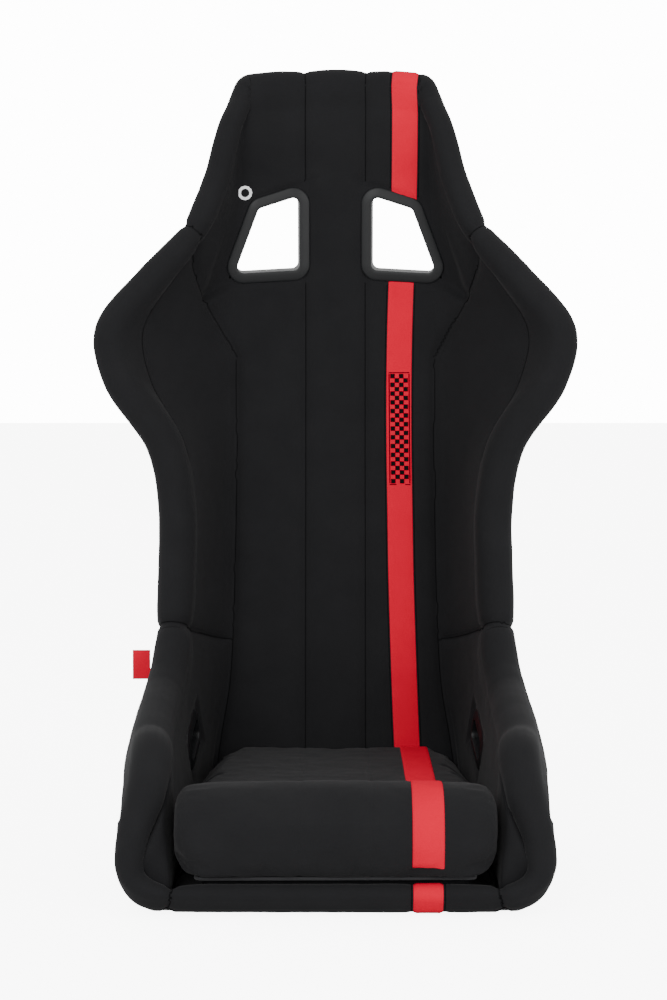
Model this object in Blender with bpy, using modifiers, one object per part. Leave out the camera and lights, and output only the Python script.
"""Fixed-back racing bucket seat.

A moulded fibreglass shell carries sewn foam pads that wrap over its rim, two shoulder-harness openings
and two lap-belt slots with plastic bezels, side mounts, and two cushions that lift out.

Axes: +Z up and the sitter faces -Y. The origin is the middle of the footprint, on the floor."""

import math
from collections import namedtuple

import bmesh
import bpy
import numpy as np
from mathutils import Matrix, Vector
from mathutils.bvhtree import BVHTree

MM = 0.001

# Overall sizes
SEAT_HEIGHT = 950 * MM
SHOULDER_WIDTH = 580 * MM
SEAT_DEPTH = 565 * MM

# The overall sizes that the stations below are drawn for, in millimetres
DRAWN_HEIGHT, DRAWN_WIDTH, DRAWN_DEPTH = 950, 580, 565
DRAWN_CENTRE_Y = -8

# Shell, pads and the clearances between pieces
SHELL_WALL = 5 * MM
FIT_GAP = 0.6 * MM
SEAM_GAP = 0.5 * MM
WRAP_PAD = 5 * MM
PIPING_RADIUS = 2 * MM
STRIPE_THICKNESS = 1.2 * MM
STRIPE_HALF_WIDTH = 17.5 * MM
CHANNEL_X = 38 * MM
LONGEST_ROW = 50 * MM

# Harness openings. An outline is (outward, up) corners from the opening's centre.
SHOULDER_CENTRE = (83.5 * MM, 0, 749 * MM)
SHOULDER_OUTLINE = [(-38.5, -45), (43.5, -49), (12.5, 32), (-38.5, 48)]
LAP_CENTRE = (0, 74 * MM, 136 * MM)
LAP_OUTLINE = [(-28, -13), (28, -13), (28, 13), (-28, 13)]
LAP_TILT = 25
CORNER_RADIUS = 8 * MM
FLANGE_WIDTH = 13 * MM
FLANGE_THICKNESS = 4 * MM
FLANGE_SUNK = 2 * MM
COLLAR_WALL = 2.4 * MM
RING_THICKNESS = 3.5 * MM
SCREW_RADIUS, SCREW_HEAD_RADIUS, SCREW_HEAD, SCREW_LENGTH = 1.5 * MM, 3.2 * MM, 1.8 * MM, 6 * MM

# Side mounts
MOUNT_SPACING = 220 * MM
MOUNT_CENTRE_Y = -25 * MM
MOUNT_Z = 62 * MM
RAIL_LENGTH, RAIL_WIDTH, RAIL_DEPTH, RAIL_PROUD = 260 * MM, 36 * MM, 20 * MM, 3 * MM
RAIL_BEVEL = 2 * MM
INSERT_BORE, INSERT_BARREL, INSERT_FLANGE, INSERT_HEAD = 3.4 * MM, 5.5 * MM, 10 * MM, 1.5 * MM

# Cushions
TAPE_THICKNESS, TAPE_WIDTH, TAPE_X = 1 * MM, 30 * MM, 75 * MM
TAPE_FRONT_Y, TAPE_REAR_Y = -120 * MM, 60 * MM
CUSHION_FRONT_Y, CUSHION_REAR_Y = -166.5 * MM, 158 * MM
CUSHION_TOP, CUSHION_TOP_REAR = 108 * MM, 112 * MM
CUSHION_EDGE = 12 * MM
CUSHION_SIDE_GAP = 6 * MM
ROLL_CENTRE_Y, ROLL_BASE_Z, ROLL_TOP_Z = -225 * MM, 42 * MM, 137 * MM
ROLL_LENGTH, ROLL_HALF_DEPTH, ROLL_END = 334 * MM, 56 * MM, 14 * MM
PLINTH_INSET = 26 * MM
WELT_RADIUS = 2 * MM

# Trim
TAG_LENGTH, TAG_HEIGHT, TAG_THICKNESS = 21 * MM, 35 * MM, 1.2 * MM
TAG_Y, TAG_Z = 73 * MM, 226 * MM
BADGE_RADIUS, BADGE_THICKNESS = 9 * MM, 1.5 * MM
BADGE_X, BADGE_Z = -113 * MM, 800 * MM

# The seat's form as stations from the front edge, along the base and up the back to the top edge, in mm.
# Each one is a flat section from the spine (at x = 0) out to the crest of the wing:
#   the spine's and the crest's y and z; the shell's floor half width, belly and crest x;
#   then what the sitter touches: the side seam's x, the pad's thickness on the floor, the wing pad's
#   inner x and the pad's thickness at the rim;
#   how far the floor curves forward at its sides; and the middle of the stripe.
Station = namedtuple(
    "Station",
    "spine_y spine_z crest_y crest_z floor belly crest seam pad inner rim sag stripe",
)
STATIONS = [
    Station(-276, 24, -262, 80, 172, 228, 219, 168, 6, 180, 20, 0, 97),  # front edge
    Station(-264, 9, -250, 118, 178, 234, 213, 171, 10, 178, 26, 0, 97),
    Station(-240, 2.5, -222, 146, 183, 240, 211, 171, 16, 176, 30, 0, 97),
    Station(-165, 2.5, -150, 166, 187, 249, 214, 170, 20, 176, 30, 0, 95),
    Station(-80, 2.5, -80, 183, 187, 254, 214, 167, 20, 174, 30, 0, 94),
    Station(15, 2.5, -20, 197, 184, 255, 213, 163, 20, 172, 30, 0, 93),
    Station(98, 2.5, 5, 207, 178, 251, 211, 158, 20, 170, 29, 0, 92),
    Station(143, 18, 22, 216, 168, 245, 209, 154, 22, 168, 28, 0, 91),  # bend
    Station(170, 55, 36, 226, 156, 236, 207.5, 149, 24, 166, 28, 0, 90),
    Station(187, 105, 50, 238, 146, 226, 206, 142, 26, 165, 28, 2, 88),
    Station(201, 160, 63, 251, 136, 219, 205, 133, 28, 164, 28, 4, 86),
    Station(216, 235, 78, 270, 129, 216, 205, 128, 28, 164, 28, 6, 84),  # hip seam
    Station(234, 320, 95, 340, 125, 214, 203, 126, 28, 164, 28, 6, 82),
    Station(247, 400, 105, 414, 122, 214, 203.5, 125, 28, 165, 28, 6, 81),
    Station(257, 480, 106, 488, 120, 216, 218.5, 124, 28, 168, 26, 6, 80),
    Station(264, 560, 100, 563, 118, 222, 266, 124, 28, 178, 24, 6, 80),  # shoulder
    Station(266, 630, 102, 628, 117, 224, 275.5, 124, 28, 182, 22, 6, 81),
    Station(262, 700, 122, 692, 116, 200, 228, 123, 26, 166, 20, 6, 83),
    Station(252, 765, 150, 750, 114, 165, 179, 120, 25, 143, 18, 6, 85),  # neck
    Station(238, 825, 170, 812, 112, 142, 152, 117, 24, 129, 16, 6, 86),
    Station(222, 880, 174, 858, 110, 132, 140, 114, 24, 121, 15, 7, 86),
    Station(209, 916, 178, 886, 108, 125, 131, 111, 20, 115, 13, 7, 86),
    Station(201, 937, 184, 906, 106, 118, 121, 107, 14, 111, 12, 7, 86),  # top edge
]
FRONT_EDGE, LIP, BEND, HIP_SEAM, NECK, TOP_EDGE = 0, 1, 7, 11, 18, 22
WING_STEPS = (0.19, 0.42, 0.65, 0.87, 1.0)
FLOOR_COLUMNS = 4  # spine to channel, stripe's inner edge, stripe's outer edge and side seam
RIM = FLOOR_COLUMNS + len(WING_STEPS)
TURN_STEPS = 3  # steps of the pads' half turn over the rim

CLOTH, RED, SHELL_FINISH = "black_cloth", "red_cloth", "gloss_shell"
PLASTIC, STEEL, ALLOY, TAPE = "satin_plastic", "zinc_steel", "black_alloy", "hook_and_loop"
FINISHES = {  # colour, roughness, metallic
    CLOTH: ((0.018, 0.018, 0.020), 0.9, 0.0),
    RED: ((0.75, 0.01, 0.03), 0.75, 0.0),
    SHELL_FINISH: ((0.012, 0.012, 0.014), 0.15, 0.0),
    PLASTIC: ((0.03, 0.032, 0.033), 0.45, 0.0),
    STEEL: ((0.55, 0.55, 0.56), 0.35, 1.0),
    ALLOY: ((0.05, 0.05, 0.055), 0.4, 0.8),
    TAPE: ((0.01, 0.01, 0.01), 1.0, 0.0),
}


def scene_collections():
    """Empties the scene and makes one collection for the seat and one for its cutters."""
    for obj in list(bpy.data.objects):
        bpy.data.objects.remove(obj)
    made = []
    for name in ("racing_seat", "cutters"):
        made.append(bpy.data.collections.new(name))
        bpy.context.scene.collection.children.link(made[-1])
    return made


SEAT, CUTTERS = scene_collections()


def material(name):
    found = bpy.data.materials.get(name)
    if found:
        return found
    colour, roughness, metallic = FINISHES[name]
    made = bpy.data.materials.new(name)
    made.use_nodes = True
    shader = made.node_tree.nodes["Principled BSDF"]
    shader.inputs["Base Color"].default_value = (*colour, 1)
    shader.inputs["Roughness"].default_value = roughness
    shader.inputs["Metallic"].default_value = metallic
    return made


def add(name, bm, finish=None, sharp=35):
    """Links the mesh as a piece of the seat or, with no finish, as a hidden cutter."""
    bmesh.ops.recalc_face_normals(bm, faces=bm.faces)
    mesh = bpy.data.meshes.new(name)
    bm.to_mesh(mesh)
    bm.free()
    obj = bpy.data.objects.new(name, mesh)
    if finish:
        mesh.shade_smooth()
        mesh.set_sharp_from_angle(angle=math.radians(sharp))
        mesh.materials.append(material(finish))
        SEAT.objects.link(obj)
    else:
        obj.hide_render = True
        obj.display_type = "WIRE"
        CUTTERS.objects.link(obj)
    return obj


def cut(obj, *cutters):
    for cutter in cutters:
        modifier = obj.modifiers.new(cutter.name, "BOOLEAN")
        modifier.operation = "DIFFERENCE"
        modifier.object = cutter


def unit(v):
    return v / np.maximum(np.linalg.norm(v, axis=-1, keepdims=True), 1e-12)


# ---------------------------------------------------------------- the form of the bucket


def scaled_stations():
    """The stations in metres at the overall sizes above, one row each."""
    rows = np.array(STATIONS, float) * MM
    across = SHOULDER_WIDTH / (DRAWN_WIDTH * MM)
    along = SEAT_DEPTH / (DRAWN_DEPTH * MM)
    up = SEAT_HEIGHT / (DRAWN_HEIGHT * MM)
    column = {name: i for i, name in enumerate(Station._fields)}
    for name in ("spine_y", "crest_y"):
        rows[:, column[name]] = (rows[:, column[name]] - DRAWN_CENTRE_Y * MM) * along
    half_wall = SHELL_WALL / 2
    for name in ("spine_z", "crest_z"):
        rows[:, column[name]] = half_wall + (rows[:, column[name]] - 2.5 * MM) * up
    for name in ("floor", "belly", "crest", "seam", "inner"):
        rows[:, column[name]] *= across
    return rows


def refined(rows):
    """The stations with rows between them, on a smooth curve, so that no step along the spine is over
    LONGEST_ROW. Returns the rows and each station's place in them."""
    steps = np.linalg.norm(np.diff(rows[:, :2], axis=0), axis=1)
    slopes = np.diff(rows, axis=0) / steps[:, None]
    tangents = np.empty_like(rows)
    tangents[0], tangents[-1] = slopes[0], slopes[-1]
    before, after = steps[:-1, None], steps[1:, None]
    tangents[1:-1] = (slopes[:-1] * after + slopes[1:] * before) / (before + after)
    out, places = [], []
    for i, step in enumerate(steps):
        places.append(len(out))
        count = max(1, math.ceil(step / LONGEST_ROW))
        for k in range(count):
            t = k / count
            out.append(
                (2 * t**3 - 3 * t**2 + 1) * rows[i]
                + (t**3 - 2 * t**2 + t) * step * tangents[i]
                + (3 * t**2 - 2 * t**3) * rows[i + 1]
                + (t**3 - t**2) * step * tangents[i + 1]
            )
    places.append(len(out))
    out.append(rows[-1])
    out = np.array(out)
    out[:, 1] = np.maximum(out[:, 1], SHELL_WALL / 2)
    return out, places


def bezier(points, t):
    a, b, c, d = (np.asarray(p, float) for p in points)
    t = np.asarray(t)[:, None]
    return (1 - t) ** 3 * a + 3 * (1 - t) ** 2 * t * b + 3 * (1 - t) * t**2 * c + t**3 * d


class Form:
    """The bucket as a grid of rows (front edge to top edge) by columns (-RIM to RIM, 0 on the spine).
    mid is the middle of the shell's wall and face is what the sitter touches."""

    def __init__(self):
        rows, self.places = refined(scaled_stations())
        self.rows = [Station(*row) for row in rows]
        self.count = len(self.rows)
        self.mid = np.array([self.section(row, self.shell_half) for row in self.rows])
        self.normal = self.grid_normals(self.mid)
        self.clear = SHELL_WALL / 2 + FIT_GAP
        self.face = np.array([self.section(row, self.face_half) for row in self.rows])
        self.fit_face_to_rim()

    def section(self, row, half_of):
        """One row's points in space, from the left rim to the right rim."""
        spine = np.array([row.spine_y, row.spine_z])
        rise = np.array([row.crest_y, row.crest_z]) - spine
        height = np.linalg.norm(rise)
        half = half_of(row, height)
        yz = spine + half[:, 1:] * rise / height
        right = np.column_stack([half[:, 0], yz])
        left = right[:0:-1] * (-1, 1, 1)
        return np.vstack([left, right])

    def shell_half(self, row, height):
        """(x, height over the spine) of the shell's right half."""
        floor = [0, CHANNEL_X, row.stripe - STRIPE_HALF_WIDTH, row.stripe + STRIPE_HALF_WIDTH]
        floor = np.array([[x, row.sag * (x / row.floor) ** 2] for x in floor])
        start = np.array([row.floor, row.sag])
        first = start + (0.78 * (row.belly - row.floor), 0.5 * row.sag)
        return np.vstack([
            floor,
            start,
            bezier([start, first, (row.belly, 0.4 * height), (row.crest, height)], WING_STEPS),
        ])

    def face_half(self, row, height):
        """The same for the face of the pads."""
        lift = self.clear + row.pad
        floor = [0, CHANNEL_X, row.stripe - STRIPE_HALF_WIDTH, row.stripe + STRIPE_HALF_WIDTH]
        floor = np.array([[x, lift + row.sag * (x / row.seam) ** 2] for x in floor])
        start = np.array([row.seam, lift + row.sag])
        first = (0.5 * (row.seam + row.inner), lift + 1.3 * row.sag)
        second = (row.inner, 0.45 * height + 0.5 * lift)
        end = (row.crest - row.rim, height)
        return np.vstack([floor, start, bezier([start, first, second, end], WING_STEPS)])

    @staticmethod
    def grid_normals(points):
        along = np.gradient(points, axis=0)
        across = np.gradient(points, axis=1)
        return unit(np.cross(across, along))

    def pad_depth(self, i, j):
        """The pad's thickness at the shell's edge."""
        row = self.rows[i]
        share = max(0, abs(j) - FLOOR_COLUMNS) / (RIM - FLOOR_COLUMNS)
        return row.pad + (row.rim - row.pad) * share

    def fit_face_to_rim(self):
        """Along the shell's edge the face is the pad's thickness off the wall, where the pads' turn
        begins."""
        for i, j in self.edge_loop():
            depth = self.clear + self.pad_depth(i, j)
            self.face[i, j + RIM] = self.mid[i, j + RIM] + depth * self.normal[i, j + RIM]

    def edge_loop(self):
        """The grid places along the shell's edge: front edge, right rim, top edge, left rim."""
        top = self.count - 1
        return (
            [(0, j) for j in range(-RIM, RIM)]
            + [(i, RIM) for i in range(top)]
            + [(top, j) for j in range(RIM, -RIM, -1)]
            + [(i, -RIM) for i in range(top, 0, -1)]
        )

    def inward(self, i, j):
        """The grid place one cell in from the edge."""
        return min(max(i, 1), self.count - 2), min(max(j, 1 - RIM), RIM - 1)


FORM = Form()


# ---------------------------------------------------------------- the skin of pads over the shell


def make_skin():
    """Every place of the upholstery, as key -> (point on the shell side, point on the face).
    Keys are ("grid", i, j), ("turn", place in the edge loop, step) and ("flap", i, j)."""
    skin = {}
    for i in range(FORM.count):
        for j in range(-RIM, RIM + 1):
            point, normal = FORM.mid[i, j + RIM], FORM.normal[i, j + RIM]
            skin["grid", i, j] = (point + FORM.clear * normal, FORM.face[i, j + RIM])
    loop = FORM.edge_loop()
    for place, (i, j) in enumerate(loop):
        point, normal = FORM.mid[i, j + RIM], FORM.normal[i, j + RIM]
        ahead, behind = loop[(place + 1) % len(loop)], loop[place - 1]
        run = FORM.mid[ahead[0], ahead[1] + RIM] - FORM.mid[behind[0], behind[1] + RIM]
        inner = FORM.inward(i, j)
        outward = unit(np.cross(run, normal))
        outward *= np.sign(outward @ (point - FORM.mid[inner[0], inner[1] + RIM]))
        for step in range(1, TURN_STEPS + 1):
            angle = math.pi * step / TURN_STEPS
            way = math.cos(angle) * normal + math.sin(angle) * outward
            swell = WRAP_PAD + (FORM.pad_depth(i, j) - WRAP_PAD) * (1 + math.cos(angle)) / 2
            skin["turn", place, step] = (
                point + FORM.clear * way,
                point + (FORM.clear + swell) * way,
            )
        point = FORM.mid[inner[0], inner[1] + RIM]
        normal = FORM.normal[inner[0], inner[1] + RIM]
        skin["flap", *inner] = (
            point - FORM.clear * normal,
            point - (FORM.clear + WRAP_PAD) * normal,
        )
    return skin


def cell_triangles(i, j):
    """The two triangles of the cell between rows i and i + 1 and columns j and j + 1, split from its
    inner corner at row i: first the one beside the rim, then the one beside the spine."""
    near, far = (j, j + 1) if j >= 0 else (j + 1, j)
    outer = (("grid", i, near), ("grid", i, far), ("grid", i + 1, far))
    inner = (("grid", i, near), ("grid", i + 1, far), ("grid", i + 1, near))
    return outer, inner


def grid_triangles(rows, columns):
    """All triangles of the cells in these rows and columns."""
    return [t for i in rows for j in columns for t in cell_triangles(i, j)]


def edge_triangles(keep):
    """The triangles that turn over the rim between neighbouring places of the edge loop where keep(i,
    j) holds for the cell inside them."""
    loop = FORM.edge_loop()
    found = []
    for place, (i, j) in enumerate(loop):
        after = (place + 1) % len(loop)
        i2, j2 = loop[after]
        if not keep(min(i, i2, FORM.count - 2), min(j, j2, RIM - 1)):
            continue
        first = [("grid", i, j)] + [("turn", place, k) for k in range(1, TURN_STEPS + 1)]
        second = [("grid", i2, j2)] + [("turn", after, k) for k in range(1, TURN_STEPS + 1)]
        for k in range(TURN_STEPS):
            found.append((first[k], second[k], second[k + 1]))
            found.append((first[k], second[k + 1], first[k + 1]))
        a, b = FORM.inward(i, j), FORM.inward(i2, j2)
        flap_a, flap_b = ("flap", *a), ("flap", *b)
        if a == b:
            found.append((first[-1], second[-1], flap_b))
        elif (b[0] - i) * (abs(b[1]) - abs(j)) > 0:  # the shell's own diagonal in this cell
            found.append((first[-1], second[-1], flap_b))
            found.append((first[-1], flap_b, flap_a))
        else:
            found.append((first[-1], second[-1], flap_a))
            found.append((second[-1], flap_b, flap_a))
    return found


def free_edges(triangles):
    """The edges that only one triangle uses, in its direction."""
    seen = {}
    for t in triangles:
        for a, b in ((t[0], t[1]), (t[1], t[2]), (t[2], t[0])):
            seen.setdefault(frozenset((a, b)), []).append((a, b))
    return [uses[0] for uses in seen.values() if len(uses) == 1]


def slab(triangles, places, shrink=SEAM_GAP / 2):
    """A closed mesh between the two sides of these triangles, its free edges drawn in by shrink."""
    edges = free_edges(triangles)
    rim = {key for edge in edges for key in edge}
    pull = {key: np.zeros((2, 3)) for key in rim}
    for a, b in edges:
        third = next(
            key for t in triangles if a in t and b in t for key in t if key not in (a, b)
        )
        for side in (0, 1):
            run = unit(places[b][side] - places[a][side])
            into = places[third][side] - places[a][side]
            into = unit(into - (into @ run) * run)
            pull[a][side] += into
            pull[b][side] += into
    bm = bmesh.new()
    vertex = {}
    for key in {key for t in triangles for key in t}:
        for side in (0, 1):
            point = places[key][side]
            if key in rim:
                point = point + shrink * unit(pull[key][side])
            vertex[key, side] = bm.verts.new(point)
    for a, b, c in triangles:
        bm.faces.new((vertex[a, 1], vertex[b, 1], vertex[c, 1]))
        bm.faces.new((vertex[c, 0], vertex[b, 0], vertex[a, 0]))
    for a, b in edges:
        bm.faces.new((vertex[b, 1], vertex[a, 1], vertex[a, 0], vertex[b, 0]))
    bmesh.ops.triangulate(bm, faces=[f for f in bm.faces if len(f.verts) == 4])
    return bm


SKIN = make_skin()
LAST_ROW = FORM.count - 1
ROW = FORM.places
LEFT, RIGHT = range(-RIM, -FLOOR_COLUMNS), range(FLOOR_COLUMNS, RIM)
FLOOR = range(-FLOOR_COLUMNS, FLOOR_COLUMNS)


def make_shell():
    """The wall of the bucket, half its thickness to each side of the middle surface."""
    half = SHELL_WALL / 2
    places = {}
    for i in range(FORM.count):
        for j in range(-RIM, RIM + 1):
            point, normal = FORM.mid[i, j + RIM], FORM.normal[i, j + RIM]
            places["grid", i, j] = (point - half * normal, point + half * normal)
    triangles = grid_triangles(range(LAST_ROW), range(-RIM, RIM))
    return add("shell", slab(triangles, places, shrink=0), SHELL_FINISH)


def wing_split(i, j):
    """For a cell at the shoulder: 1 if it is wing pad, -1 if it is back pad, 0 if the seam crosses it.
    The seam climbs from the side seam to the rim, which it meets at the neck, one column a row."""
    out = abs(j) if j >= 0 else abs(j + 1)
    on_seam = out - FLOOR_COLUMNS - (i - (ROW[NECK] - len(WING_STEPS)))
    if i < ROW[NECK] - len(WING_STEPS):
        return 1
    return int(np.sign(on_seam)) if i < ROW[NECK] else -1


def make_pads():
    """The pads that are glued to the shell."""
    pads = {
        "lip_pad": grid_triangles(range(ROW[LIP]), FLOOR)
        + edge_triangles(lambda i, j: i == 0 and j in FLOOR),
        "base_pad": grid_triangles(range(ROW[LIP], ROW[BEND]), FLOOR),
    }
    back = grid_triangles(range(ROW[BEND], LAST_ROW), FLOOR)
    for side, columns in (("left", LEFT), ("right", RIGHT)):
        outside = -RIM if side == "left" else RIM - 1
        hip = grid_triangles(range(ROW[HIP_SEAM]), columns)
        hip += edge_triangles(
            lambda i, j, columns=columns, outside=outside: (
                i < ROW[HIP_SEAM] and (j == outside or (i == 0 and j in columns))
            )
            and not (i == 0 and j in FLOOR)
        )
        wing = edge_triangles(
            lambda i, j, outside=outside: ROW[HIP_SEAM] <= i < ROW[NECK] and j == outside
        )
        for i in range(ROW[HIP_SEAM], LAST_ROW):
            for j in columns:
                outer, inner = cell_triangles(i, j)
                split = wing_split(i, j)
                (wing if split >= 0 else back).append(outer)
                (wing if split > 0 else back).append(inner)
        pads[f"{side}_hip_bolster"] = hip
        pads[f"{side}_wing_pad"] = wing
    back += edge_triangles(lambda i, j: i >= ROW[NECK])
    pads["back_pad"] = back
    return {name: add(name, slab(t, SKIN), CLOTH) for name, t in pads.items()}


def stripe_slab(name, triangles, places):
    """A strip of cloth on top of the face of these triangles."""
    raised = {}
    keys = {key for t in triangles for key in t}
    normals = {key: np.zeros(3) for key in keys}
    for a, b, c in triangles:
        face = np.cross(places[b][1] - places[a][1], places[c][1] - places[a][1])
        for key in (a, b, c):
            normals[key] += face
    for key in keys:
        way = unit(normals[key])
        if way @ (places[key][1] - places[key][0]) < 0:
            way = -way
        base = places[key][1] + FIT_GAP * way
        raised[key] = (base, base + STRIPE_THICKNESS * way)
    return add(name, slab(triangles, raised), RED)


def make_stripes(split_row):
    """The red panels on the fixed pads. The column of cells between the stripe's edges carries them.
    The shoulder opening parts the back's stripe from the head's at split_row."""
    column = [FLOOR_COLUMNS - 2]
    panels = {
        "lip_stripe": grid_triangles(range(ROW[LIP]), column)
        + edge_triangles(lambda i, j: i == 0 and j in column),
        "back_stripe": grid_triangles(range(ROW[BEND], split_row), column),
        "head_stripe": grid_triangles(range(split_row, LAST_ROW), column)
        + edge_triangles(lambda i, j: i == LAST_ROW - 1 and j in column),
    }
    return {name: stripe_slab(name, triangles, SKIN) for name, triangles in panels.items()}


# ---------------------------------------------------------------- openings and what lines them


def tree(triangles, places, side):
    """A surface that rays can be cast on."""
    keys = sorted({key for t in triangles for key in t}, key=str)
    index = {key: n for n, key in enumerate(keys)}
    points = [Vector(places[key][side]) for key in keys]
    return BVHTree.FromPolygons(points, [[index[key] for key in t] for t in triangles])


def hit(surface, start, way):
    return np.array(surface.ray_cast(Vector(start), Vector(way))[0])


def rounded(corners, radius, steps=3):
    """A convex outline, anticlockwise, with its corners rounded: its points and their outward normals."""
    corners = np.array(corners, float)
    sides = unit(np.roll(corners, -1, axis=0) - corners)
    outward = np.column_stack([sides[:, 1], -sides[:, 0]])
    points, normals = [], []
    for k, corner in enumerate(corners):
        before, after = outward[k - 1], outward[k]
        centre = corner - radius * (before + after) / (1 + before @ after)
        for step in range(steps + 1):
            way = unit((1 - step / steps) * before + step / steps * after)
            points.append(centre + radius * way)
            normals.append(way)
    return np.array(points), np.array(normals)


def circle(steps):
    """An outline of no size: its offsets are circles."""
    turns = np.arange(steps) * 2 * math.pi / steps
    return np.zeros((steps, 2)), np.column_stack([np.cos(turns), np.sin(turns)])


class Seat:
    """A plane laid on the surface that lies beyond centre, with axes u and v in it and n out of it."""

    def __init__(self, surface, centre, u, v, into, outline):
        centre, u, v, into = (np.array(a, float) for a in (centre, u, v, into))
        found = np.array([hit(surface, centre + x * u + y * v, into) for x, y in outline])
        mean = found.mean(axis=0)
        normal = np.linalg.svd(found - mean)[2][2]
        self.n = normal if normal @ into < 0 else -normal
        self.origin = centre + into * ((mean - centre) @ self.n) / (into @ self.n)
        self.u = unit(u - (u @ self.n) * self.n)
        self.v = unit(v - (v @ self.n) * self.n - (v @ self.u) * self.u)

    def at(self, outline, offset, height):
        """The outline drawn offset outward and this height over the plane, in space."""
        points, normals = outline
        flat = points + offset * normals
        return self.origin + flat[:, :1] * self.u + flat[:, 1:] * self.v + height * self.n


def loft(loops, ring):
    """A mesh through loops of as many points each. A ring's last loop joins its first, else the ends
    are capped."""
    bm = bmesh.new()
    rows = [[bm.verts.new(p) for p in loop] for loop in loops]
    pairs = list(zip(rows, rows[1:]))
    if ring:
        pairs.append((rows[-1], rows[0]))
    else:
        bm.faces.new(rows[0])
        bm.faces.new(rows[-1])
    for low, high in pairs:
        for k in range(len(low)):
            after = (k + 1) % len(low)
            bm.faces.new((low[k], low[after], high[after], high[k]))
    return bm


SHELL_PLACES = {}
for row in range(FORM.count):
    for column in range(-RIM, RIM + 1):
        middle, across = FORM.mid[row, column + RIM], FORM.normal[row, column + RIM]
        SHELL_PLACES["grid", row, column] = (
            middle - SHELL_WALL / 2 * across,
            middle + SHELL_WALL / 2 * across,
        )
WHOLE = grid_triangles(range(LAST_ROW), range(-RIM, RIM))
FACE_TREE = tree(WHOLE, SKIN, 1)
OUTSIDE_TREE = tree(WHOLE, SHELL_PLACES, 0)
INSIDE_TREE = tree(WHOLE, SHELL_PLACES, 1)


def shell_clearance(depth):
    """A cutter that fills the shell's wall and depth inside it, a gap larger than the wall on the
    outside."""
    gap = 0.3 * MM
    places = {}
    for key, (outside, inside) in SHELL_PLACES.items():
        way = unit(inside - outside)
        places[key] = (outside - gap * way, inside + depth * way)
    return add("shell_clearance", slab(WHOLE, places, shrink=0))


def fit_opening(name, centre, u, v, into, corners, screw_places):
    """A bezel on the pads with its collar through pad and shell, the ring that clamps it outside the
    shell, and the ring's screws. Returns the cutters for the pad's recess and for the hole through
    everything."""
    outline = rounded(np.array(corners) * MM, CORNER_RADIUS)
    seat = Seat(FACE_TREE, centre, u, v, into, outline[0] + 0.6 * FLANGE_WIDTH * outline[1])
    ring_band = [p for offset in (0, FLANGE_WIDTH) for p in seat.at(outline, offset, 0)]
    depths = [np.linalg.norm(hit(OUTSIDE_TREE, p, -seat.n) - p) for p in ring_band]
    back = -(max(depths) + RING_THICKNESS)
    top, foot = FLANGE_THICKNESS - FLANGE_SUNK, -FLANGE_SUNK
    bezel = [
        (0, top + 1 * MM),
        (3 * MM, top + 1 * MM),
        (FLANGE_WIDTH, top - 1.5 * MM),
        (FLANGE_WIDTH, foot),
        (COLLAR_WALL, foot),
        (COLLAR_WALL, back - 1 * MM),
        (0, back - 1 * MM),
    ]
    add(f"{name}_bezel", loft([seat.at(outline, *p) for p in bezel], ring=True), PLASTIC)
    hole = COLLAR_WALL + FIT_GAP
    front = 1 * MM - min(depths)
    ring = [(hole, back), (hole, front), (FLANGE_WIDTH, front), (FLANGE_WIDTH, back)]
    clamp = add(f"{name}_ring", loft([seat.at(outline, *p) for p in ring], ring=True), PLASTIC)
    recess = [(FLANGE_WIDTH + FIT_GAP, foot - FIT_GAP), (FLANGE_WIDTH + FIT_GAP, 40 * MM)]
    through = [(hole, back - 10 * MM), (hole, 40 * MM)]
    recess = add(f"{name}_recess", loft([seat.at(outline, *p) for p in recess], ring=False))
    through = add(f"{name}_hole", loft([seat.at(outline, *p) for p in through], ring=False))
    drills = []
    for n, place in enumerate(screw_places, 1):
        spot = outline[0][place] + (hole + FLANGE_WIDTH) / 2 * outline[1][place]
        axis = seat.origin + spot[0] * seat.u + spot[1] * seat.v
        wall = -np.linalg.norm(hit(OUTSIDE_TREE, axis, -seat.n) - axis)
        drills.append(screw(f"{name}_screw_{n}", axis, seat.n, back, wall + 3 * MM))
    cut(clamp, SHELL_GAP, *drills)
    return recess, through, drills


def turned(name, profile, origin, axis, finish=None, steps=12):
    """A turned piece: the profile of (radius, distance along the axis) run round the axis by a Screw
    modifier. A profile that doesn't start on the axis is closed."""
    mesh = bpy.data.meshes.new(name)
    obj = bpy.data.objects.new(name, mesh)
    edges = [(k, k + 1) for k in range(len(profile) - 1)]
    if profile[0][0]:
        edges.append((len(profile) - 1, 0))
    mesh.from_pydata([(r, 0, h) for r, h in profile], edges, [])
    obj.rotation_mode = "QUATERNION"
    obj.rotation_quaternion = Vector(axis).to_track_quat("Z", "Y")
    obj.location = origin
    spin = obj.modifiers.new("turn", "SCREW")
    spin.steps = spin.render_steps = steps
    spin.use_merge_vertices = True
    spin.merge_threshold = 0.01 * MM
    spin.use_smooth_shade = False
    if finish:
        mesh.materials.append(material(finish))
        SEAT.objects.link(obj)
    else:
        obj.hide_render = True
        obj.display_type = "WIRE"
        CUTTERS.objects.link(obj)
    return obj


def screw(name, axis, n, back, tip):
    """A screw from behind the ring into the shell's wall. Returns the drill for its hole."""
    under = back - 0.3 * MM
    profile = [
        (0, tip),
        (SCREW_RADIUS, tip),
        (SCREW_RADIUS, under),
        (SCREW_HEAD_RADIUS, under),
        (SCREW_HEAD_RADIUS, under - 0.6 * SCREW_HEAD),
        (0.6 * SCREW_HEAD_RADIUS, under - SCREW_HEAD),
        (0, under - SCREW_HEAD),
    ]
    turned(name, profile, axis, n, STEEL, steps=8)
    reach = SCREW_RADIUS + 0.3 * MM
    top, bottom = tip + 0.5 * MM, back - 5 * MM
    hole = [(0, top), (reach, top), (reach, bottom), (0, bottom)]
    return turned(f"{name}_drill", hole, axis, n, steps=8)


# ---------------------------------------------------------------- side mounts


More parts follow.
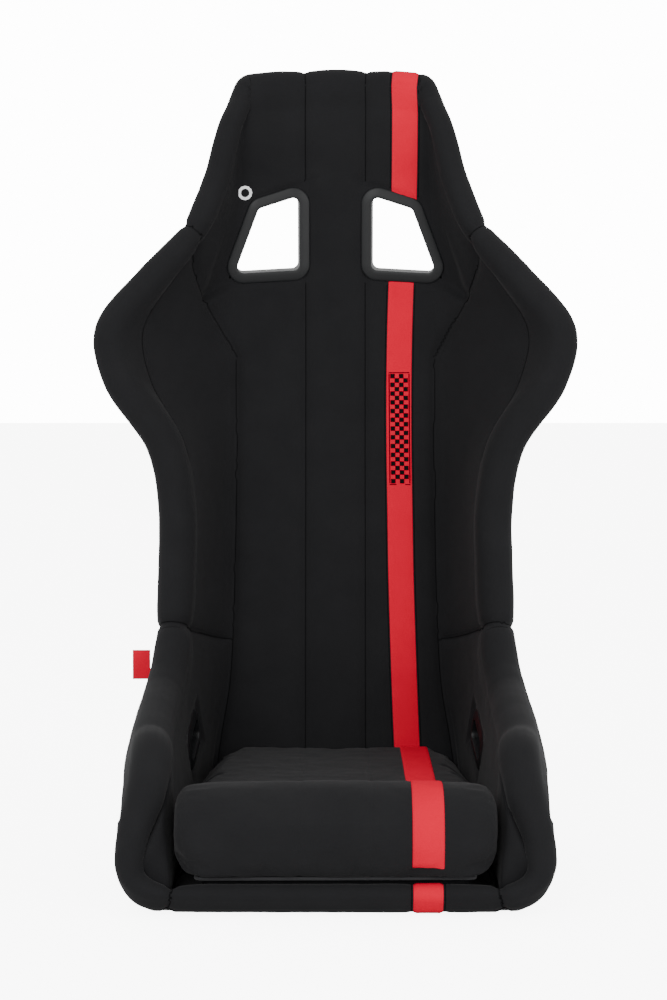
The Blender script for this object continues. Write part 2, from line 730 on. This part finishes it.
def side_mount(name, side):
    """A rail bonded to the outside of the shell, and the two threaded inserts through it. Returns the
    drills."""
    low, high = MOUNT_Z - RAIL_WIDTH / 2, MOUNT_Z + RAIL_WIDTH / 2
    front, rear = MOUNT_CENTRE_Y - RAIL_LENGTH / 2, MOUNT_CENTRE_Y + RAIL_LENGTH / 2
    points = [outside for outside, _ in SHELL_PLACES.values()]
    widest = max(p[0] for p in points if front < p[1] < rear and low < p[2] < high)
    face_x = widest + RAIL_PROUD
    bm = bmesh.new()
    bmesh.ops.create_cube(bm, size=1)
    bmesh.ops.scale(bm, vec=(RAIL_DEPTH, RAIL_LENGTH, RAIL_WIDTH), verts=bm.verts)
    bmesh.ops.translate(
        bm, vec=(side * (face_x - RAIL_DEPTH / 2), MOUNT_CENTRE_Y, MOUNT_Z), verts=bm.verts
    )
    rail = add(f"{name}_mount_rail", bm, ALLOY)
    bevel = rail.modifiers.new("edges", "BEVEL")
    bevel.width = RAIL_BEVEL
    bevel.segments = 1
    drills = []
    for end, y in (("front", -MOUNT_SPACING / 2), ("rear", MOUNT_SPACING / 2)):
        start = (side * face_x, MOUNT_CENTRE_Y + y, MOUNT_Z)
        wall = abs(hit(INSIDE_TREE, start, (-side, 0, 0))[0] - start[0])
        outer, inner, under = INSERT_HEAD + 0.3 * MM, 1 * MM - wall, 0.3 * MM
        profile = [
            (INSERT_BORE, outer),
            (INSERT_FLANGE, outer),
            (INSERT_FLANGE, under),
            (INSERT_BARREL, under),
            (INSERT_BARREL, inner),
            (INSERT_BORE, inner),
        ]
        turned(f"{name}_{end}_insert", profile, start, (side, 0, 0), STEEL, steps=16)
        reach = INSERT_BARREL + 0.3 * MM
        hole = [(0, 30 * MM), (reach, 30 * MM), (reach, -wall - 0.2 * MM), (0, -wall - 0.2 * MM)]
        drills.append(turned(f"{name}_{end}_insert_drill", hole, start, (side, 0, 0)))
    cut(rail, SHELL_GAP, *drills)
    return drills


# ---------------------------------------------------------------- cushions


def face_height(y):
    """The height of the pads' face on the centreline."""
    return hit(FACE_TREE, (0, y, 0.4), (0, 0, -1))[2]


def seam_half_width(y):
    """The half width of the floor's face where its centreline passes y."""
    below = ROW[HIP_SEAM]
    return float(np.interp(y, FORM.face[:below, RIM, 1], [row.seam for row in FORM.rows[:below]]))


def block(name, stations, finish, radius):
    """A cushion lofted along Y: stations of (y, half width, bottom z, top z), with rounded top corners."""
    loops = []
    for y, half, bottom, top in stations:
        r = min(radius, 0.45 * (top - bottom))
        low = 0.3 * r
        loops.append([
            (x, y, z)
            for x, z in (
                (-half + low, bottom),
                (half - low, bottom),
                (half, bottom + low),
                (half, top - r),
                (half - 0.3 * r, top - 0.3 * r),
                (half - r, top),
                (-half + r, top),
                (-half + 0.3 * r, top - 0.3 * r),
                (-half, top - r),
                (-half, bottom + low),
            )
        ])
    return add(name, loft(loops, ring=False), finish)


def ribbon(name, profile, x_low, x_high, finish, lift=0.3 * MM, thickness=STRIPE_THICKNESS):
    """A strip of cloth along an open (y, z) profile, on its left-hand side, between two x."""
    profile = np.array(profile, float)
    run = unit(np.gradient(profile, axis=0))
    way = np.column_stack([-run[:, 1], run[:, 0]])
    low, high = profile + lift * way, profile + (lift + thickness) * way
    outline = np.vstack([low, high[::-1]])
    loops = [np.column_stack([np.full(len(outline), x), outline]) for x in (x_low, x_high)]
    return add(name, loft(loops, ring=False), finish)


def tape_stack():
    """How far the cushion stands off the base pad: two tapes and the gaps around them."""
    return 2 * TAPE_THICKNESS + 3 * 0.3 * MM


def make_tapes():
    """The loop tapes on the base pad and the hook tapes under the cushion."""
    profile = [(y, face_height(y)) for y in np.linspace(TAPE_FRONT_Y, TAPE_REAR_Y, 5)]
    lower, upper = [], []
    for side, x in (("left", -TAPE_X), ("right", TAPE_X)):
        edges = (x - TAPE_WIDTH / 2, x + TAPE_WIDTH / 2)
        low = ribbon(f"{side}_loop_tape", profile, *edges, TAPE, thickness=TAPE_THICKNESS)
        high = ribbon(
            f"{side}_hook_tape",
            profile,
            *edges,
            TAPE,
            lift=TAPE_THICKNESS + 2 * 0.3 * MM,
            thickness=TAPE_THICKNESS,
        )
        lower.append(low)
        upper.append(high)
    return upper


def make_seat_cushion():
    """The lift-out cushion on the base, its front and rear edges rounded."""
    stations, crown = [], []
    for step in (0, 0.3, 0.65, 1):
        angle = math.pi / 2 * step
        y = CUSHION_FRONT_Y + CUSHION_EDGE * (1 - math.cos(angle))
        drop = CUSHION_EDGE * (1 - math.sin(angle))
        stations.append((y, CUSHION_TOP - drop))
    for y in np.linspace(CUSHION_FRONT_Y + 2 * CUSHION_EDGE, CUSHION_REAR_Y, 9):
        share = (y - CUSHION_FRONT_Y) / (CUSHION_REAR_Y - CUSHION_FRONT_Y)
        stations.append((y, CUSHION_TOP + share * (CUSHION_TOP_REAR - CUSHION_TOP)))
    full = []
    for y, top in stations:
        bottom = max(face_height(y), face_height(y + 3 * MM)) + tape_stack()
        full.append((y, seam_half_width(y) - CUSHION_SIDE_GAP, bottom, top))
        crown.append((y, top))
    cushion = block("seat_cushion", full, CLOTH, CUSHION_EDGE)
    front_low = (CUSHION_FRONT_Y, full[0][2] + CUSHION_EDGE)
    inner, outer = stripe_edges(CUSHION_FRONT_Y)
    stripe = ribbon("seat_stripe", [front_low, *crown], inner, outer, RED)
    return [cushion, stripe]


def stripe_edges(y):
    """The stripe's edges on the cushions."""
    base_rows = ROW[BEND]
    middle = float(
        np.interp(y, FORM.face[:base_rows, RIM, 1], [row.stripe for row in FORM.rows[:base_rows]])
    )
    return middle - STRIPE_HALF_WIDTH, middle + STRIPE_HALF_WIDTH


def roll_outline(inset):
    """The thigh roll's (y, z) outline, from its bottom's rear edge over the top to its bottom's front
    edge."""
    middle = (ROLL_BASE_Z + ROLL_TOP_Z) / 2
    half_height = (ROLL_TOP_Z - ROLL_BASE_Z) / 2
    points = []
    for k in range(15):
        turn = math.radians(-50 + 280 * k / 14)
        c, s = math.cos(turn), math.sin(turn)
        y = (ROLL_HALF_DEPTH - inset) * math.copysign(abs(c) ** 0.8, c)
        z = (half_height - inset) * math.copysign(abs(s) ** 0.8, s)
        points.append((ROLL_CENTRE_Y + y, max(middle + z, ROLL_BASE_Z)))
    points[0] = (points[1][0] - 6 * MM, ROLL_BASE_Z)
    points[-1] = (points[-2][0] + 6 * MM, ROLL_BASE_Z)
    return points


def make_roll():
    """The thigh roll, lofted along X with rounded ends, its stripe, plinth and welt."""
    half = ROLL_LENGTH / 2
    loops = []
    for side in (-1, 1):
        steps = (0, 0.4, 0.75, 1)
        for t in steps if side < 0 else steps[::-1]:
            angle = math.pi / 2 * t
            inset = ROLL_END * (1 - math.sin(angle))
            x = side * (half - ROLL_END * (1 - math.cos(angle)))
            loops.append([(x, y, max(z, ROLL_BASE_Z)) for y, z in roll_outline(inset)])
    roll = add("thigh_roll", loft(loops, ring=False), CLOTH)
    inner, outer = stripe_edges(ROLL_CENTRE_Y)
    stripe = ribbon("roll_stripe", roll_outline(0)[::-1], inner, outer, RED)
    depth = ROLL_HALF_DEPTH - PLINTH_INSET
    stations = []
    for y in np.linspace(ROLL_CENTRE_Y - depth, ROLL_CENTRE_Y + depth, 5):
        bottom = max(face_height(y), face_height(y + 2 * MM), face_height(y - 2 * MM)) + FIT_GAP
        stations.append((y, half - PLINTH_INSET, bottom, ROLL_BASE_Z - 0.3 * MM))
    plinth = block("roll_plinth", stations, CLOTH, 2 * MM)
    z = ROLL_BASE_Z - 0.3 * MM - WELT_RADIUS
    corners = [(-1, -1), (1, -1), (1, 1), (-1, 1)]
    size = (half - PLINTH_INSET + 6 * MM, depth + 6 * MM)
    path = rounded([(a * size[0], b * size[1]) for a, b in corners], 5 * MM)[0]
    welt = cord("roll_welt", [(x, ROLL_CENTRE_Y + y, z) for x, y in path], WELT_RADIUS, RED)
    return [roll, stripe, plinth, welt]


def cord(name, path, radius, finish):
    """A closed round cord along these points."""
    curve = bpy.data.curves.new(name, "CURVE")
    curve.dimensions = "3D"
    curve.bevel_depth = radius
    curve.bevel_resolution = 0
    line = curve.splines.new("POLY")
    line.points.add(len(path) - 1)
    for place, point in zip(line.points, path):
        place.co = (*point, 1)
    line.use_cyclic_u = True
    curve.materials.append(material(finish))
    obj = bpy.data.objects.new(name, curve)
    SEAT.objects.link(obj)
    return obj


# ---------------------------------------------------------------- trim


def make_piping():
    """The cord that closes the cover's edge on the outside of the shell, just inside the turned-over
    cloth."""
    keys = []
    for i, j in FORM.edge_loop():
        key = FORM.inward(i, j)
        if key not in keys:
            keys.append(key)
    path = []
    for i, j in keys:
        deeper = min(max(i, 2), FORM.count - 3), min(max(j, 2 - RIM), RIM - 2)
        here, there = SHELL_PLACES["grid", i, j], SHELL_PLACES["grid", *deeper]
        normal = FORM.normal[i, j + RIM]
        into = unit(there[0] - here[0])
        path.append(here[0] - (PIPING_RADIUS + 0.8 * MM) * normal + (PIPING_RADIUS + 2 * MM) * into)
    return cord("edge_piping", path, PIPING_RADIUS, CLOTH)


def make_tag():
    """A cloth tag sewn into the seam on the outside of the left hip."""
    rows = [
        hit(OUTSIDE_TREE, (-1, TAG_Y, TAG_Z + dz), (1, 0, 0))[0]
        for dz in np.linspace(-TAG_HEIGHT / 2, TAG_HEIGHT / 2, 3)
    ]
    root = min(rows) - 1.15 * (FIT_GAP + WRAP_PAD) - 0.3 * MM
    bm = bmesh.new()
    bmesh.ops.create_cube(bm, size=1)
    bmesh.ops.scale(bm, vec=(TAG_LENGTH, TAG_THICKNESS, TAG_HEIGHT), verts=bm.verts)
    bmesh.ops.translate(bm, vec=(root - TAG_LENGTH / 2, TAG_Y, TAG_Z), verts=bm.verts)
    return add("side_tag", bm, RED)


def make_badge():
    """A small raised ring on the left of the head."""
    outline = circle(12)
    centre = (BADGE_X, 0, BADGE_Z)
    seat = Seat(FACE_TREE, centre, (1, 0, 0), (0, 0, 1), (0, 1, 0), BADGE_RADIUS * outline[1])
    proud = 0.0
    for ray in seat.at(outline, BADGE_RADIUS, 0.05):
        proud = max(proud, 0.05 - np.linalg.norm(hit(FACE_TREE, ray, -seat.n) - ray))
    low = proud + 0.3 * MM
    high = low + BADGE_THICKNESS
    inner = 0.6 * BADGE_RADIUS
    profile = [(inner, low), (BADGE_RADIUS, low), (BADGE_RADIUS, high), (inner, high)]
    return add("ring_badge", loft([seat.at(outline, *p) for p in profile], ring=True), STEEL)


def carry(name, location, pieces):
    """Hangs the pieces that move together on an empty at this place."""
    empty = bpy.data.objects.new(name, None)
    empty.location = location
    SEAT.objects.link(empty)
    for piece in pieces:
        piece.parent = empty
        piece.matrix_parent_inverse = Matrix.Translation(location).inverted()


# ---------------------------------------------------------------- the seat

SHELL_GAP = shell_clearance(24 * MM)
shell = make_shell()
pads = make_pads()
face_z = FORM.face[:, RIM, 2]
split = int(np.argmin(abs(face_z - SHOULDER_CENTRE[2])))
stripes = make_stripes(split)

shell_cutters = []
for label, side in (("left", -1), ("right", 1)):
    x, y, z = SHOULDER_CENTRE
    recess, through, drills = fit_opening(
        f"{label}_shoulder",
        (side * x, y, z),
        (side, 0, 0),
        (0, 0, 1),
        (0, 1, 0),
        SHOULDER_OUTLINE,
        (1, 5, 13),
    )
    cut(pads["back_pad"], recess, through)
    if side > 0:
        cut(stripes["back_stripe"], recess, through)
        cut(stripes["head_stripe"], recess, through)
    shell_cutters += [through, *drills]
    c, s = math.cos(math.radians(LAP_TILT)), math.sin(math.radians(LAP_TILT))
    recess, through, drills = fit_opening(
        f"{label}_lap", LAP_CENTRE, (0, c, s), (0, -s, c), (side, 0, 0), LAP_OUTLINE, (1, 9)
    )
    cut(pads[f"{label}_hip_bolster"], recess, through)
    shell_cutters += [through, *drills]
    shell_cutters += side_mount(label, side)
cut(shell, *shell_cutters)

hook_tapes = make_tapes()
carry("seat_cushion_carrier", (0, 0, CUSHION_TOP), [*make_seat_cushion(), *hook_tapes])
carry("thigh_roll_carrier", (0, ROLL_CENTRE_Y, ROLL_BASE_Z), make_roll())
make_piping()
make_tag()
make_badge()
